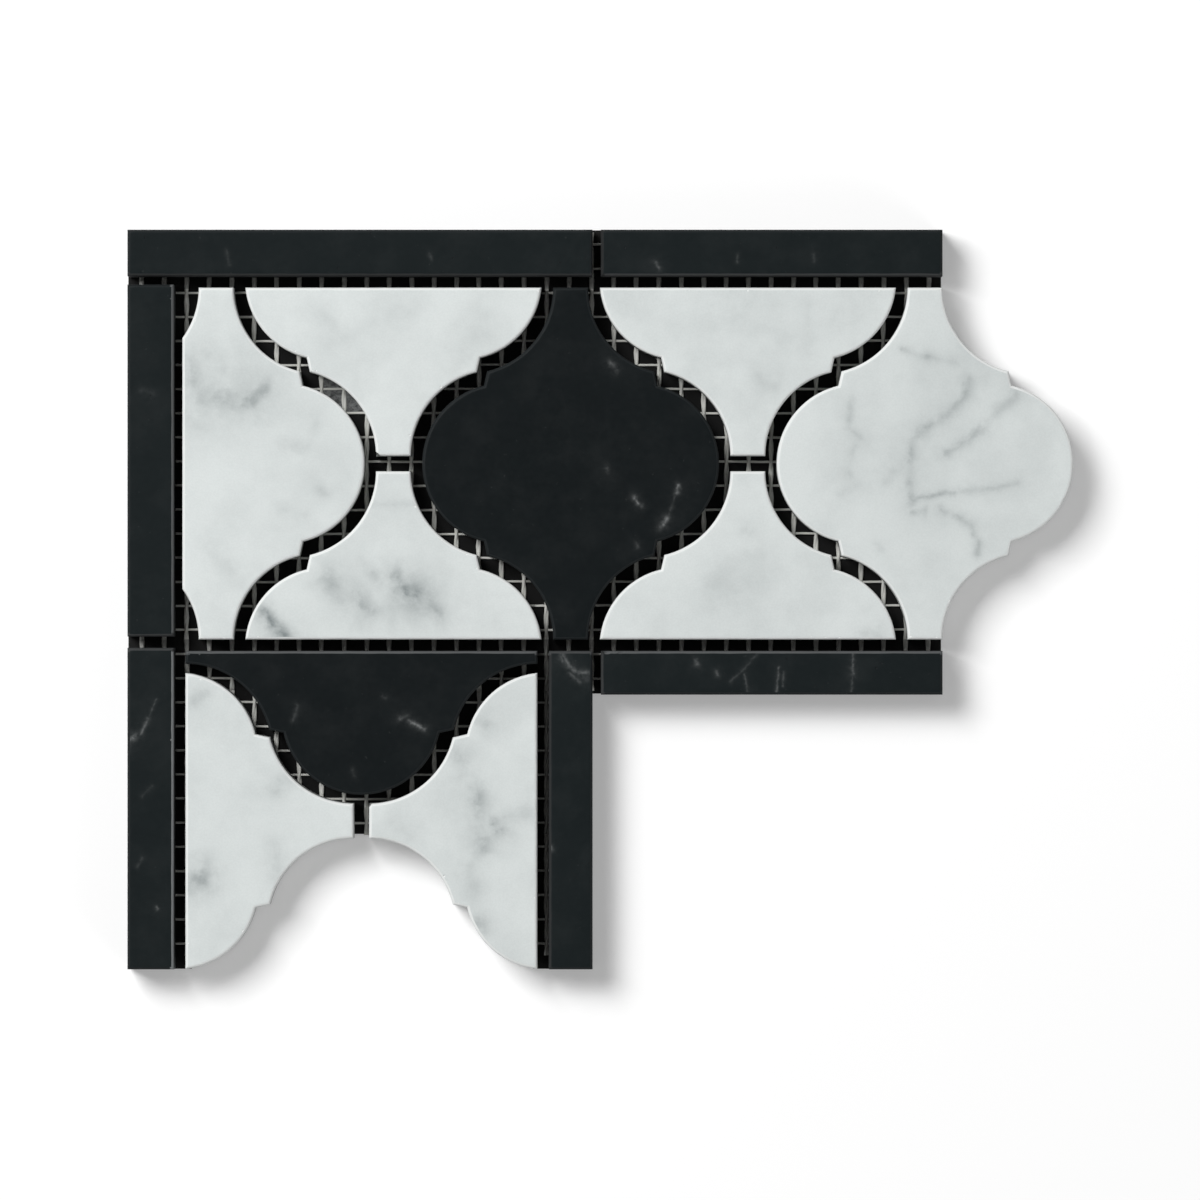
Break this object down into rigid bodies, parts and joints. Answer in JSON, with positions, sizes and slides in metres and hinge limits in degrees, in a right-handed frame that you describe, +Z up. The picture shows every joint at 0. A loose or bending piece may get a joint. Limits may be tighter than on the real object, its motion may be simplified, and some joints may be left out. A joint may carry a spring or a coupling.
{
  "type": "marble border corner tile",
  "caption": "L-shaped mosaic border corner of black and white marble lanterns and funnels between black bars, set on open fibreglass mesh for tiling.",
  "frame": {"origin": "under the middle of the sheet's box, on the back of the mesh", "axes": "+Z up out of the honed faces, +X along the top leg towards its free end, +Y from the leg's foot towards the outer top edge"},
  "size_m": [0.2034, 0.159, 0.0105],
  "materials": {
    "white_marble": "honed white marble with soft grey veins",
    "black_marble": "honed black marble with fine white veins",
    "glass_mesh": "open weave of resin-coated glass fibre"
  },
  "bodies": {
    "root": {"corner_lantern": "white_marble", "end_lantern": "white_marble", "upper_funnel_left": "white_marble", "upper_funnel_right": "white_marble", "lower_funnel_left": "white_marble", "lower_funnel_right": "white_marble", "leg_funnel_left": "white_marble", "leg_funnel_right": "white_marble", "top_bar_long": "black_marble", "top_bar_short": "black_marble", "left_bar_upper": "black_marble", "left_bar_lower": "black_marble", "inner_bar": "black_marble", "bottom_bar": "black_marble", "black_lantern": "black_marble", "black_half_lantern": "black_marble", "mesh_corner": "glass_mesh", "mesh_end": "glass_mesh", "mesh_leg": "glass_mesh", "mesh_foot_left": "glass_mesh", "mesh_foot_right": "glass_mesh"}
  },
  "joints": []
}
